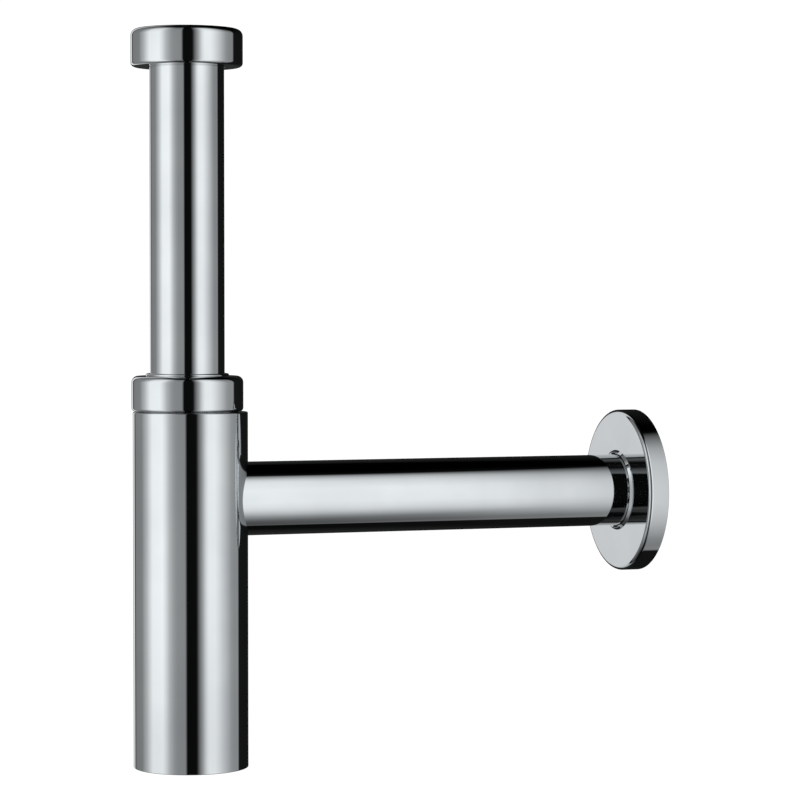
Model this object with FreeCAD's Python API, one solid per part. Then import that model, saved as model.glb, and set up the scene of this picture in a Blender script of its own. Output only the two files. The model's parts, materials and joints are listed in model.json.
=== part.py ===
import FreeCAD, Part
import math
import os

# Washbasin bottle trap in chrome-plated brass, in millimetres, +Z up.
# The origin is the centre of the inlet gasket's top face, on the inlet axis.
# The inlet tube hangs down from there, and the outlet tube leaves along +X.

# Tubes
tube_r = 16.0
tube_wall = 1.0
tube_bore_r = tube_r - tube_wall
dip_end_z = -272.0

# Clearances
loose_gap = 0.3
face_gap = 0.2
seal_gap = 0.05
groove_slack = 0.05

# Union nut at the top, with a G 1 1/4 thread at its minor radius
nut_r = 24.0
union_top_z = 7.3
union_bottom_z = -8.9
union_top_round = 3.0
union_bottom_round = 1.8
union_thread_r = 19.476
union_thread_length = 6.5
union_mouth_r = 20.3
union_relief_r = 20.8
union_lip_top_z = -5.4
nut_hole_r = tube_r + loose_gap

# Inlet flange with its gasket above and its thrust ring below
flange_r = 19.0
flange_top_z = -2.5
flange_bottom_z = -3.7
gasket_inner_r = 15.2
gasket_outer_r = 19.1
thrust_ring_r = 19.2
thrust_ring_top_z = flange_bottom_z - face_gap
thrust_ring_bottom_z = union_lip_top_z + face_gap

# Slip nut on the neck of the trap head
slip_top_z = -141.0
slip_bottom_z = -156.2
slip_top_round = 2.8
slip_bottom_round = 1.5
slip_roof_z = -144.3
slip_thread_r = 20.55
slip_relief_r = 22.2
slip_relief_z = slip_bottom_z + 2.9
slip_lip_r = 17.9
slip_lip_height = 1.1
slip_lip_round = 0.5

# Glide ring and wedge seal under the slip nut's roof
glide_ring_r = 20.2
glide_ring_top_z = slip_roof_z - face_gap
glide_ring_bottom_z = -145.9
seal_head_r = 19.8
seal_top_z = glide_ring_bottom_z - face_gap
seal_bottom_z = -152.4
seal_cone_gap = 0.293

# Trap head inside the sleeve; body_x is how far the body's axis stands out from the inlet axis
body_x = 1.3
outlet_z = -194.4
neck_r = 20.5
neck_top_z = -148.0
neck_bore_r = 16.4
neck_cone_top_r = 19.4
neck_cone_end_z = -152.9
neck_edge_round = 0.2
head_r = 23.3
head_bore_r = 21.7
head_top_z = -158.7
head_ceiling_z = -161.7
head_top_round = 0.5
head_ceiling_round = 1.0
head_bottom_z = outlet_z - 30.0
skirt_thread_r = 22.0
skirt_thread_top_z = head_bottom_z + 12.0

# Outlet spigot in the head's boss
spigot_r = 14.75
spigot_bore_r = 12.0
boss_r = 18.2
boss_face_x = 16.6
landing_x = 18.6
pocket_r = tube_r + 0.4
spigot_end_x = 54.0
o_ring_xs = (40.0, 48.0)
o_ring_mid_r = 14.0
o_ring_cord_r = 0.95
o_ring_groove_width = 2.2

# Sleeve that covers the head and the cup
sleeve_r = 24.7
sleeve_wall = 0.9
sleeve_bore_r = sleeve_r - sleeve_wall
sleeve_top_z = slip_bottom_z - loose_gap
sleeve_bottom_z = -309.6
sleeve_roof = 1.2
sleeve_neck_hole_r = 20.75
sleeve_top_round = 0.5
sleeve_bottom_round = 0.3
washer_r = 23.2
washer_hole_r = 20.7

# Snap ring that holds the sleeve down on the neck
snap_groove_r = 19.5
snap_groove_top_z = sleeve_top_z + 1.0
snap_ring_inner_r = 19.55
snap_ring_outer_r = 21.8
snap_ring_gap_width = 9.0

# Escutcheon plate against the wall
plate_r = 36.3
plate_face_x = 201.5
plate_back_x = plate_face_x + 9.4
plate_wall = 1.2
plate_round = 1.8
plate_inner_round = 1.0
collar_r = 18.05
collar_height = 1.0
collar_round = 0.8
hub_bore_r = 18.6
hub_r = 20.6
hub_end_x = plate_face_x + 6.2
plate_o_ring_mid_r = 17.3
plate_o_ring_cord_r = 1.25
plate_o_ring_x = plate_face_x + 2.65
clamp_ring_start_x = plate_face_x + 4.1
clamp_ring_end_x = plate_face_x + 5.9
clamp_ring_bore_r = 16.4
clamp_ring_r = 18.55

# Outlet tube
outlet_start_x = landing_x + 0.4
outlet_end_x = plate_back_x + 8.1
outlet_end_chamfer = 0.4
mark_groove_start_x = plate_back_x + 0.1
mark_groove_end_x = plate_back_x + 0.9
mark_groove_r = 15.6

# Clean-out cup, its seal, its base cap and its centring ring
cup_r = 23.3
cup_bore_r = 20.9
cup_neck_r = 21.9
cup_neck_bore_r = 20.0
cup_neck_top_z = head_bottom_z + 11.0
cup_shoulder_z = head_bottom_z - 2.0
cup_taper_height = 2.0
cup_bottom_z = sleeve_bottom_z + 2.4
cup_floor_z = cup_bottom_z + 2.0
cup_floor_round = 4.0
cup_foot_r = 22.0
cup_foot_top_z = cup_bottom_z + 3.0
cup_seal_inner_r = 22.1
cup_seal_outer_r = 23.2
centring_top_z = cup_bottom_z + 8.0
centring_bottom_z = cup_bottom_z + 5.0
centring_groove_r = 22.1
centring_ring_r = 23.72
cap_bottom_z = sleeve_bottom_z + 0.3
cap_edge_round = 0.6
coin_slot_length = 30.0
coin_slot_width = 3.0
coin_slot_depth = 1.3

# Small rounds that every turned edge and moulded ring has
edge_round = 0.3
overrun = 1.0

up = FreeCAD.Vector(0, 0, 1)
out = FreeCAD.Vector(1, 0, 0)


def on_inlet_axis(point):
    """Place a (radius, height) point beside the inlet axis."""
    return FreeCAD.Vector(point.x, 0, point.y)


def on_body_axis(point):
    """Place a (radius, height) point beside the body axis."""
    return FreeCAD.Vector(body_x + point.x, 0, point.y)


def on_outlet_axis(point):
    """Place a (radius, distance along X) point above the outlet axis."""
    return FreeCAD.Vector(point.y, 0, outlet_z + point.x)


def corner_stretch(before, corner, after, rounding):
    """Give the start, middle and end of one corner, rounded by a tangent arc."""
    if rounding == 0:
        return corner, corner, corner
    to_before = (before - corner).normalize()
    to_after = (after - corner).normalize()
    half_angle = to_before.getAngle(to_after) / 2
    reach = rounding / math.tan(half_angle)
    inward = (to_before + to_after).normalize()
    middle = corner + inward * (rounding / math.sin(half_angle) - rounding)
    return corner + to_before * reach, middle, corner + to_after * reach


def outline_face(corners, place):
    """Make a flat face from a closed outline of (radius, along, rounding) corners."""
    points = [FreeCAD.Vector(radius, along, 0) for radius, along, rounding in corners]
    count = len(points)
    stretches = []
    for index in range(count):
        after = points[(index + 1) % count]
        rounding = corners[index][2]
        stretches.append(corner_stretch(points[index - 1], points[index], after, rounding))
    edges = []
    for index, (start, middle, end) in enumerate(stretches):
        if corners[index][2] > 0:
            edges.append(Part.Arc(place(start), place(middle), place(end)).toShape())
        next_start = stretches[(index + 1) % count][0]
        edges.append(Part.LineSegment(place(end), place(next_start)).toShape())
    return Part.Face(Part.Wire(edges))


def turned(corners, place=on_inlet_axis):
    """Turn a closed outline about the axis that its place function stands it beside."""
    face = outline_face(corners, place)
    centre = place(FreeCAD.Vector(0, 0, 0))
    axis = out if place is on_outlet_axis else up
    return face.revolve(centre, axis, 360)


def ring(inner_r, outer_r, start, end, place=on_inlet_axis, rounding=0.0):
    """Make a plain ring between two radii and two places along its axis."""
    corners = [
        (inner_r, start, rounding),
        (outer_r, start, rounding),
        (outer_r, end, rounding),
        (inner_r, end, rounding),
    ]
    return turned(corners, place)


def rod(radius, start, end, place=on_inlet_axis):
    """Make a solid cylinder between two places along its axis."""
    corners = [(0, start, 0), (radius, start, 0), (radius, end, 0), (0, end, 0)]
    return turned(corners, place)


def cord_ring(mid_r, cord_r, x):
    """Make an O-ring around the outlet axis."""
    return Part.makeTorus(mid_r, cord_r, FreeCAD.Vector(x, 0, outlet_z), out)


def make_union_nut():
    corners = [
        (nut_hole_r, union_bottom_z, edge_round),
        (nut_r, union_bottom_z, union_bottom_round),
        (nut_r, union_top_z, union_top_round),
        (union_mouth_r, union_top_z, 0),
        (union_thread_r, union_thread_length, 0),
        (union_thread_r, 0, 0),
        (union_relief_r, 0, 0),
        (union_relief_r, union_lip_top_z, 0),
        (nut_hole_r, union_lip_top_z, 0),
    ]
    return turned(corners)


def make_inlet_tube():
    corners = [
        (tube_bore_r, flange_top_z, 0),
        (flange_r, flange_top_z, edge_round),
        (flange_r, flange_bottom_z, edge_round),
        (tube_r, flange_bottom_z, 0),
        (tube_r, dip_end_z, edge_round),
        (tube_bore_r, dip_end_z, edge_round),
    ]
    return turned(corners)


def make_slip_nut():
    """The nut has a low lip round its hole and a relief for the snap ring at its foot."""
    corners = [
        (nut_hole_r, slip_top_z + slip_lip_height, edge_round),
        (slip_lip_r, slip_top_z + slip_lip_height, slip_lip_round),
        (slip_lip_r, slip_top_z, 0),
        (nut_r, slip_top_z, slip_top_round),
        (nut_r, slip_bottom_z, slip_bottom_round),
        (slip_relief_r, slip_bottom_z, 0),
        (slip_relief_r, slip_relief_z, 0),
        (slip_thread_r, slip_relief_z, 0),
        (slip_thread_r, slip_roof_z, 0),
        (nut_hole_r, slip_roof_z, 0),
    ]
    return turned(corners)


def make_wedge_seal():
    """The seal's cone runs parallel to the neck's cone, a small gap away from it."""
    cone_slope = (neck_cone_top_r - neck_bore_r) / (neck_top_z - neck_cone_end_z)
    shoulder_z = neck_top_z + loose_gap
    cone_top_r = neck_cone_top_r - seal_cone_gap + cone_slope * (shoulder_z - neck_top_z)
    cone_end_r = cone_top_r - cone_slope * (shoulder_z - seal_bottom_z)
    seal_bore_r = tube_r + seal_gap
    corners = [
        (seal_bore_r, seal_top_z, 0),
        (seal_head_r, seal_top_z, edge_round),
        (seal_head_r, shoulder_z, edge_round),
        (cone_top_r, shoulder_z, 0),
        (cone_end_r, seal_bottom_z, 0),
        (seal_bore_r, seal_bottom_z, 0),
    ]
    return turned(corners)


def make_neck():
    corners = [
        (neck_bore_r, head_ceiling_z, 0),
        (neck_r, head_ceiling_z, 0),
        (neck_r, sleeve_top_z, 0),
        (snap_groove_r, sleeve_top_z, 0),
        (snap_groove_r, snap_groove_top_z, 0),
        (neck_r, snap_groove_top_z, 0),
        (neck_r, neck_top_z, neck_edge_round),
        (neck_cone_top_r, neck_top_z, 0),
        (neck_bore_r, neck_cone_end_z, 0),
    ]
    return turned(corners)


def make_chamber():
    """The round chamber below the neck, open at the bottom for the cup's thread."""
    corners = [
        (0, head_top_z, 0),
        (head_r, head_top_z, head_top_round),
        (head_r, head_bottom_z, edge_round),
        (skirt_thread_r, head_bottom_z, 0),
        (skirt_thread_r, skirt_thread_top_z, 0),
        (head_bore_r, skirt_thread_top_z, 0),
        (head_bore_r, head_ceiling_z, head_ceiling_round),
        (0, head_ceiling_z, 0),
    ]
    chamber = turned(corners, on_body_axis)
    return chamber.cut(rod(neck_bore_r, head_bottom_z, neck_top_z))


def make_outlet_spigot():
    """The outlet tube slides over this turned spigot, sealed by two O-rings in its grooves."""
    spigot = ring(spigot_bore_r, spigot_r, boss_face_x, spigot_end_x, on_outlet_axis)
    groove_bottom_r = o_ring_mid_r - o_ring_cord_r
    for x in o_ring_xs:
        start = x - o_ring_groove_width / 2
        end = x + o_ring_groove_width / 2
        groove = ring(groove_bottom_r, spigot_r + overrun, start, end, on_outlet_axis)
        spigot = spigot.cut(groove)
    return spigot


def make_trap_head():
    """Cast head: neck, chamber and an outlet boss that holds the spigot and the tube's end."""
    head_outside = rod(head_r, head_bottom_z, head_top_z, on_body_axis)
    boss_end_x = body_x + head_r
    boss = rod(boss_r, boss_face_x, boss_end_x, on_outlet_axis).common(head_outside)
    casting = make_neck().fuse(make_chamber()).fuse(boss)
    pocket = rod(pocket_r, landing_x, boss_end_x + overrun, on_outlet_axis)
    spigot_hole = rod(spigot_r, boss_face_x - overrun, boss_end_x, on_outlet_axis)
    return casting.cut(pocket).cut(spigot_hole).removeSplitter()


def make_sleeve_top_washer():
    """Round outside like the sleeve, with its hole round the off-centre neck."""
    washer_top_z = sleeve_top_z - sleeve_roof
    washer = rod(washer_r, head_top_z, washer_top_z, on_body_axis)
    return washer.cut(rod(washer_hole_r, head_top_z - overrun, washer_top_z + overrun))


def make_sleeve_snap_ring():
    """A split steel ring in the neck's groove, with its gap at the back."""
    top_z = snap_groove_top_z - groove_slack
    bottom_z = sleeve_top_z + groove_slack
    hoop = ring(snap_ring_inner_r, snap_ring_outer_r, bottom_z, top_z)
    gap_corner = FreeCAD.Vector(-snap_ring_gap_width / 2, 0, bottom_z - overrun)
    gap_height = top_z - bottom_z + 2 * overrun
    gap = Part.makeBox(snap_ring_gap_width, nut_r, gap_height, gap_corner)
    return hoop.cut(gap)


def make_outer_sleeve():
    corners = [
        (0, sleeve_top_z, 0),
        (sleeve_r, sleeve_top_z, sleeve_top_round),
        (sleeve_r, sleeve_bottom_z, sleeve_bottom_round),
        (sleeve_bore_r, sleeve_bottom_z, sleeve_bottom_round),
        (sleeve_bore_r, sleeve_top_z - sleeve_roof, 0),
        (0, sleeve_top_z - sleeve_roof, 0),
    ]
    sleeve = turned(corners, on_body_axis)
    neck_hole = rod(sleeve_neck_hole_r, head_top_z, neck_top_z)
    outlet_hole = rod(tube_r + loose_gap, body_x, body_x + sleeve_r + overrun, on_outlet_axis)
    return sleeve.cut(neck_hole).cut(outlet_hole)


def make_outlet_o_rings():
    return Part.makeCompound([cord_ring(o_ring_mid_r, o_ring_cord_r, x) for x in o_ring_xs])


def make_outlet_tube():
    """The groove near the free end marks how deep the tube goes into the wall socket."""
    corners = [
        (tube_bore_r, outlet_start_x, edge_round),
        (tube_r, outlet_start_x, edge_round),
        (tube_r, mark_groove_start_x, 0),
        (mark_groove_r, mark_groove_start_x, 0),
        (mark_groove_r, mark_groove_end_x, 0),
        (tube_r, mark_groove_end_x, 0),
        (tube_r, outlet_end_x - outlet_end_chamfer, 0),
        (tube_r - outlet_end_chamfer, outlet_end_x, 0),
        (tube_bore_r, outlet_end_x, 0),
    ]
    return turned(corners, on_outlet_axis)


def make_cleanout_cup():
    corners = [
        (0, cup_bottom_z, 0),
        (cup_foot_r, cup_bottom_z, 0),
        (cup_foot_r, cup_foot_top_z, 0),
        (cup_r, cup_foot_top_z, 0),
        (cup_r, centring_bottom_z, 0),
        (centring_groove_r, centring_bottom_z, 0),
        (centring_groove_r, centring_top_z, 0),
        (cup_r, centring_top_z, 0),
        (cup_r, cup_shoulder_z, edge_round),
        (cup_neck_r, cup_shoulder_z, 0),
        (cup_neck_r, cup_neck_top_z, edge_round),
        (cup_neck_bore_r, cup_neck_top_z, edge_round),
        (cup_neck_bore_r, cup_shoulder_z, 0),
        (cup_bore_r, cup_shoulder_z - cup_taper_height, 0),
        (cup_bore_r, cup_floor_z, cup_floor_round),
        (0, cup_floor_z, 0),
    ]
    return turned(corners, on_body_axis)


def make_cup_seal():
    top_z = head_bottom_z - loose_gap
    bottom_z = cup_shoulder_z + face_gap
    return ring(cup_seal_inner_r, cup_seal_outer_r, bottom_z, top_z, on_body_axis, edge_round)


def make_cup_base_cap():
    """A dished chrome cap on the cup's foot, with a coin slot across its underside."""
    corners = [
        (0, cap_bottom_z, 0),
        (cup_r, cap_bottom_z, cap_edge_round),
        (cup_r, cup_foot_top_z - edge_round, 0),
        (cup_foot_r, cup_foot_top_z - edge_round, 0),
        (cup_foot_r, cup_bottom_z, 0),
        (0, cup_bottom_z, 0),
    ]
    slot_corner_x = body_x - coin_slot_length / 2
    slot_corner = FreeCAD.Vector(slot_corner_x, -coin_slot_width / 2, cap_bottom_z - overrun)
    slot_height = coin_slot_depth + overrun
    slot = Part.makeBox(coin_slot_length, coin_slot_width, slot_height, slot_corner)
    return turned(corners, on_body_axis).cut(slot)


def make_sleeve_centring_ring():
    bottom_z = centring_bottom_z + groove_slack
    top_z = centring_top_z - groove_slack
    return ring(centring_groove_r, centring_ring_r, bottom_z, top_z, on_body_axis, edge_round)


def make_escutcheon_plate():
    """A round dished plate with a low collar in front and a short hub behind."""
    inner_face_x = plate_face_x + plate_wall
    plate_hole_r = tube_r + loose_gap
    corners = [
        (plate_hole_r, plate_face_x - collar_height, collar_round),
        (collar_r, plate_face_x - collar_height, collar_round),
        (collar_r, plate_face_x, 0),
        (plate_r, plate_face_x, plate_round),
        (plate_r, plate_back_x, edge_round),
        (plate_r - plate_wall, plate_back_x, 0),
        (plate_r - plate_wall, inner_face_x, plate_inner_round),
        (hub_r, inner_face_x, 0),
        (hub_r, hub_end_x, edge_round),
        (hub_bore_r, hub_end_x, 0),
        (hub_bore_r, inner_face_x, 0),
        (plate_hole_r, inner_face_x, 0),
    ]
    return turned(corners, on_outlet_axis)


def make_escutcheon_clamp_ring():
    start = clamp_ring_start_x
    end = clamp_ring_end_x
    return ring(clamp_ring_bore_r, clamp_ring_r, start, end, on_outlet_axis)


def make_parts():
    """Make every sub-part as a solid under its node's name."""
    return {
        "union_nut": make_union_nut(),
        "union_thrust_ring": ring(nut_hole_r, thrust_ring_r, thrust_ring_bottom_z, thrust_ring_top_z),
        "inlet_gasket": ring(gasket_inner_r, gasket_outer_r, flange_top_z, 0, rounding=edge_round),
        "inlet_tube": make_inlet_tube(),
        "slip_nut": make_slip_nut(),
        "slip_glide_ring": ring(nut_hole_r, glide_ring_r, glide_ring_bottom_z, glide_ring_top_z),
        "inlet_wedge_seal": make_wedge_seal(),
        "trap_head": make_trap_head(),
        "outlet_spigot": make_outlet_spigot(),
        "sleeve_top_washer": make_sleeve_top_washer(),
        "sleeve_snap_ring": make_sleeve_snap_ring(),
        "outer_sleeve": make_outer_sleeve(),
        "outlet_o_rings": make_outlet_o_rings(),
        "outlet_tube": make_outlet_tube(),
        "cleanout_cup": make_cleanout_cup(),
        "cup_seal": make_cup_seal(),
        "cup_base_cap": make_cup_base_cap(),
        "sleeve_centring_ring": make_sleeve_centring_ring(),
        "escutcheon_plate": make_escutcheon_plate(),
        "escutcheon_o_ring": cord_ring(plate_o_ring_mid_r, plate_o_ring_cord_r, plate_o_ring_x),
        "escutcheon_clamp_ring": make_escutcheon_clamp_ring(),
    }


os.makedirs("parts", exist_ok=True)
for node, shape in make_parts().items():
    shape.exportStep("parts/" + node + ".step")
    print(node, "valid", shape.isValid(), "solids", len(shape.Solids), "volume", round(shape.Volume, 1))
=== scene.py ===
import json
import logging
import math
from collections.abc import Sequence
from dataclasses import dataclass, replace
from enum import Enum

import bpy
import numpy as np
from mathutils import Euler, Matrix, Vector

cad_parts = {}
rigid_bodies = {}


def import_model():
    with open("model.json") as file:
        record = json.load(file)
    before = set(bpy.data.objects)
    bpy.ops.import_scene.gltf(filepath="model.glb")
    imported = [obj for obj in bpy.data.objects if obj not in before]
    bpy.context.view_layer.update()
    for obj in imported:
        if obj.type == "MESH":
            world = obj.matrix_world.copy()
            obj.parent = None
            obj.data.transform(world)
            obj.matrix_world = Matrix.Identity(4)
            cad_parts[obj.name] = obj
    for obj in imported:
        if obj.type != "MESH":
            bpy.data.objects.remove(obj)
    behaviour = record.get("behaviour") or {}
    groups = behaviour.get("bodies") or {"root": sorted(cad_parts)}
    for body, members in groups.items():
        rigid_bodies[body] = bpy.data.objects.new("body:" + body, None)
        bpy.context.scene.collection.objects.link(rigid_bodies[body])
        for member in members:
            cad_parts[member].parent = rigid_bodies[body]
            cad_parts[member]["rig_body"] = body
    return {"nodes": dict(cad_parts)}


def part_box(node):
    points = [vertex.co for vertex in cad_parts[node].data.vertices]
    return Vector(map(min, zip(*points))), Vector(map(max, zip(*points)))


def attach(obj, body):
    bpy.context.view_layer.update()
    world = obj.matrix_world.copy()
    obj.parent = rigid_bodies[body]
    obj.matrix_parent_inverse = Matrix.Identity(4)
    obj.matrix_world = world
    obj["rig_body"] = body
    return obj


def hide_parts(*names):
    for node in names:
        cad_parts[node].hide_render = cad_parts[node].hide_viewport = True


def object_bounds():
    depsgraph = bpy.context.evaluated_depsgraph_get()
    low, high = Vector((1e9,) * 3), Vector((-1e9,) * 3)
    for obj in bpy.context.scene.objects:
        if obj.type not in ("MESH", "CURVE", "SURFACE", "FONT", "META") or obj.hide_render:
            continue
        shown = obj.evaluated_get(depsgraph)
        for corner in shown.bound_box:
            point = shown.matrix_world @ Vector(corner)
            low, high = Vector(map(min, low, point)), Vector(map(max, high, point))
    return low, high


# The looks of a chrome-plated bottle trap. Sizes are in millimetres unless a name says otherwise.
# Places come from the CAD model's own boxes, and the classes hold the sizes that those boxes don't show.

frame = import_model()
cad_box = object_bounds()

log = logging.getLogger("bottle_trap")

MM = 0.001
# How many points go round a turned piece, and how many steps round an arc of its outline.
STEPS_AROUND = 256
ARC_STEPS = 7
# The usual rounding of a turned edge, of an edge that is meant to feel soft, and of an inner corner.
EDGE_BREAK = 0.12
SOFT_EDGE = 0.3
INNER_CORNER = 0.05
# The share of an O-ring's cord that its corners' arcs take up, just short of where they would meet.
CORD_ROUND = 0.98
# A step too small to see, for slopes and for places that only just count as inside.
NUDGE = 1e-3
# How many stops a new ramp already has.
RAMP_STOPS = 2
# How many times as long as wide the marks of drawing, turning and polishing are.
STREAK = 14.0


def to_linear(hex_colour: str) -> tuple[float, float, float, float]:
    """Turn an sRGB hex colour into linear red, green, blue and alpha.

    Args:
        hex_colour: Six hex digits with a leading hash, such as "#C9CCCE".

    Returns:
        The linear colour, with alpha 1.
    """
    channels = np.array([int(hex_colour[i : i + 2], 16) for i in (1, 3, 5)]) / 255
    linear = np.where(channels <= 0.04045, channels / 12.92, ((channels + 0.055) / 1.055) ** 2.4)
    return (*(float(channel) for channel in linear), 1.0)


class Axis(Enum):
    """The axis that a turned piece is turned about: which frame axis its local X, Y and Z lie on."""

    UPRIGHT = (0, 1, 2)
    OUTLET = (1, 2, 0)


@dataclass(frozen=True)
class NodeBox:
    """The box of one CAD node in millimetres."""

    low: np.ndarray
    high: np.ndarray

    @classmethod
    def of(cls, node: str) -> "NodeBox":
        """Read the box of a node from the frame."""
        low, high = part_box(node)
        return cls(np.array(low) / MM, np.array(high) / MM)

    @property
    def centre(self) -> np.ndarray:
        """The middle of the box."""
        return (self.low + self.high) / 2

    @property
    def size(self) -> np.ndarray:
        """The box's length along each axis."""
        return self.high - self.low


@dataclass(frozen=True)
class Corner:
    """One corner of a turned outline.

    radius and along are its place beside the axis, rounding is the radius of the arc on it, and shift is
    how far its circle stands off the axis, along the local X.
    """

    radius: float
    along: float
    rounding: float = EDGE_BREAK
    shift: float = 0.0


def unit(vectors: np.ndarray) -> np.ndarray:
    """Scale each vector of an array to a length of one."""
    return vectors / np.linalg.norm(vectors, axis=-1, keepdims=True)


@dataclass(frozen=True)
class Outline:
    """A traced outline: one row per point, with radius, along, the normal's two parts, and shift."""

    rows: np.ndarray
    closed: bool

    @classmethod
    def trace(cls, corners: Sequence[Corner]) -> "Outline":
        """Round every corner of an outline with an arc that touches both of its sides.

        Formula: the arc's centre lies on the corner's bisector, at rounding / sin(half angle), and the
        arc's points turn evenly from square to one side to square to the other. The normal of a point is
        its direction from the arc's centre, turned round where the corner points inwards. An outline whose
        first and last corners lie on the axis is open, and those two stay sharp.

        Args:
            corners: The corners in order, either way round.

        Returns:
            The outline with all its arc points.
        """
        closed = corners[0].radius > 0
        points = np.array([[corner.radius, corner.along] for corner in corners])
        rounding = np.array([corner.rounding for corner in corners])[:, None]
        shift = np.array([corner.shift for corner in corners])
        before, after = np.roll(points, 1, axis=0), np.roll(points, -1, axis=0)
        to_before, to_after = unit(before - points), unit(after - points)
        half = np.arccos(np.clip((to_before * to_after).sum(1), -1, 1))[:, None] / 2
        middle = points + unit(to_before + to_after) * rounding / np.sin(half)
        reach = rounding / np.tan(half)
        first = points + to_before * reach - middle
        last = points + to_after * reach - middle
        start = np.arctan2(first[:, 1], first[:, 0])
        sweep = np.arctan2(last[:, 1], last[:, 0]) - start
        sweep = (sweep + math.pi) % math.tau - math.pi
        angle = start[:, None] + sweep[:, None] * np.linspace(0, 1, ARC_STEPS + 1)
        direction = np.stack([np.cos(angle), np.sin(angle)], axis=-1)
        arcs = middle[:, None] + rounding[:, None] * direction
        area = (points[:, 0] * after[:, 1] - after[:, 0] * points[:, 1]).sum()
        turn = -to_before[:, 0] * to_after[:, 1] + to_before[:, 1] * to_after[:, 0]
        outward = direction * np.sign(turn * area)[:, None, None]
        shifts = np.broadcast_to(shift[:, None, None], (*arcs.shape[:2], 1))
        rows = np.concatenate([arcs, outward, shifts], axis=-1)
        if closed:
            return cls(rows.reshape(-1, 5), True)
        head = np.array([*points[0], *rows[1, 0, 2:4], shift[0]])
        tail = np.array([*points[-1], *rows[-2, -1, 2:4], shift[-1]])
        return cls(np.vstack([head, rows[1:-1].reshape(-1, 5), tail]), False)

    def with_rows(self, radius: float, places: np.ndarray) -> "Outline":
        """Add points to the longest straight stretch at one radius.

        Args:
            radius: The radius of the stretch.
            places: Where along the axis the new points go, in any order.

        Returns:
            A new outline with the points in it.
        """
        radii, along = self.rows[:, 0], self.rows[:, 1]
        level = np.isclose(radii, radius) & np.isclose(np.roll(radii, -1), radius)
        length = np.abs(np.roll(along, -1) - along) * level
        index = int(np.argmax(length))
        row = self.rows[index]
        falling = along[(index + 1) % len(along)] < row[1]
        ordered = np.sort(places)[:: -1 if falling else 1]
        added = np.repeat(row[None], len(ordered), axis=0)
        added[:, 1] = ordered
        return replace(self, rows=np.vstack([self.rows[: index + 1], added, self.rows[index + 1 :]]))


@dataclass(frozen=True)
class Thread:
    """A right-hand helical thread.

    depth is how far it moves the surface outwards: that makes a groove in a bore or a ridge on a rod, and a
    groove in a rod where it is negative. phase is how many turns it is ahead at its start. run_in and run_out
    are how far it takes to reach its depth at each end, and edge is how far a rounded corner that the thread
    cuts through stands off its radius.
    """

    radius: float
    start: float
    end: float
    pitch: float
    depth: float
    phase: float = 0.0
    row_step: float = 0.14
    run_in: float = 0.8
    run_out: float = 0.8
    edge: float = 0.0
    flat_share: float = 0.16

    def places(self) -> np.ndarray:
        """Give the places along the axis that the thread's rows need."""
        count = int((self.end - self.start) / self.row_step)
        return np.linspace(self.start, self.end, count)

    def offset(self, along: np.ndarray, angle: np.ndarray) -> np.ndarray:
        """Work out how far the surface moves outwards.

        Formula: a triangle wave of the turn that a point is on (its place less pitch times its angle as a
        share of a turn), clipped flat at crest and root, times the depth, and faded out at both ends.

        Args:
            along: Places along the axis, as a column.
            angle: Angles about the axis, as a row.

        Returns:
            The offset at every place and angle.
        """
        turn = (along - self.start) / self.pitch - angle / math.tau + self.phase
        wave = np.abs((turn % 1) * 2 - 1)
        groove = np.clip((wave - self.flat_share) / (1 - 2 * self.flat_share), 0, 1)
        fade_in = np.clip((along - self.start + NUDGE) / (self.run_in + NUDGE), 0, 1)
        fade_out = np.clip((self.end - along) / self.run_out, 0, 1)
        return self.depth * groove * fade_in * fade_out


@dataclass
class Surface:
    """Points, their outward normals, and the faces between them, in millimetres."""

    points: np.ndarray
    normals: np.ndarray
    faces: list[np.ndarray]

    def settled(self) -> "Surface":
        """Drop the points that no face uses, and turn each face the way its normals point.

        Returns:
            The surface, ready to be made into an object.
        """
        used = np.unique(np.concatenate([faces.ravel() for faces in self.faces]))
        number = np.zeros(len(self.points), int)
        number[used] = np.arange(len(used))
        points, normals = self.points[used], self.normals[used]
        turned = []
        for faces in self.faces:
            faces = number[faces]
            first, second, third = (points[faces[:, corner]] for corner in range(3))
            across = np.cross(second - first, third - first)
            wrong = (across * normals[faces].mean(1)).sum(1) < 0
            turned.append(np.where(wrong[:, None], faces[:, ::-1], faces))
        return Surface(points, normals, turned)

    def placed(self, axis: Axis, origin: np.ndarray) -> "Surface":
        """Stand the surface on one of the trap's axes, through an origin."""
        order = np.argsort(axis.value)
        return Surface(self.points[:, order] + origin, self.normals[:, order], self.faces)

    def to_object(self, name: str) -> bpy.types.Object:
        """Make a Blender object, in metres, with smooth faces that carry the exact normals.

        Args:
            name: The object's name.

        Returns:
            The object, linked to the scene.
        """
        mesh = bpy.data.meshes.new(name)
        faces = [face for group in self.faces for face in group.tolist()]
        mesh.from_pydata((self.points * MM).tolist(), [], faces)
        mesh.shade_smooth()
        mesh.normals_split_custom_set_from_vertices(unit(self.normals).tolist())
        made = bpy.data.objects.new(name, mesh)
        bpy.context.scene.collection.objects.link(made)
        return made


def joined(surfaces: Sequence[Surface]) -> Surface:
    """Put several closed surfaces into one, side by side.

    Args:
        surfaces: The surfaces.

    Returns:
        One surface with all their points and faces.
    """
    starts = np.cumsum([0] + [len(surface.points) for surface in surfaces[:-1]])
    faces = [group + start for surface, start in zip(surfaces, starts) for group in surface.faces]
    points = np.vstack([surface.points for surface in surfaces])
    return Surface(points, np.vstack([surface.normals for surface in surfaces]), faces)


def band(near: np.ndarray, far: np.ndarray) -> np.ndarray:
    """Make the four-sided faces between two closed loops of point numbers, or two stacks of loops.

    Args:
        near: The loop, or stack of loops, on one side.
        far: The same on the other side.

    Returns:
        One row of four point numbers for each face.
    """
    stack = np.stack([near, np.roll(near, -1, axis=-1), np.roll(far, -1, axis=-1), far], axis=-1)
    return stack.reshape(-1, 4)


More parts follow.
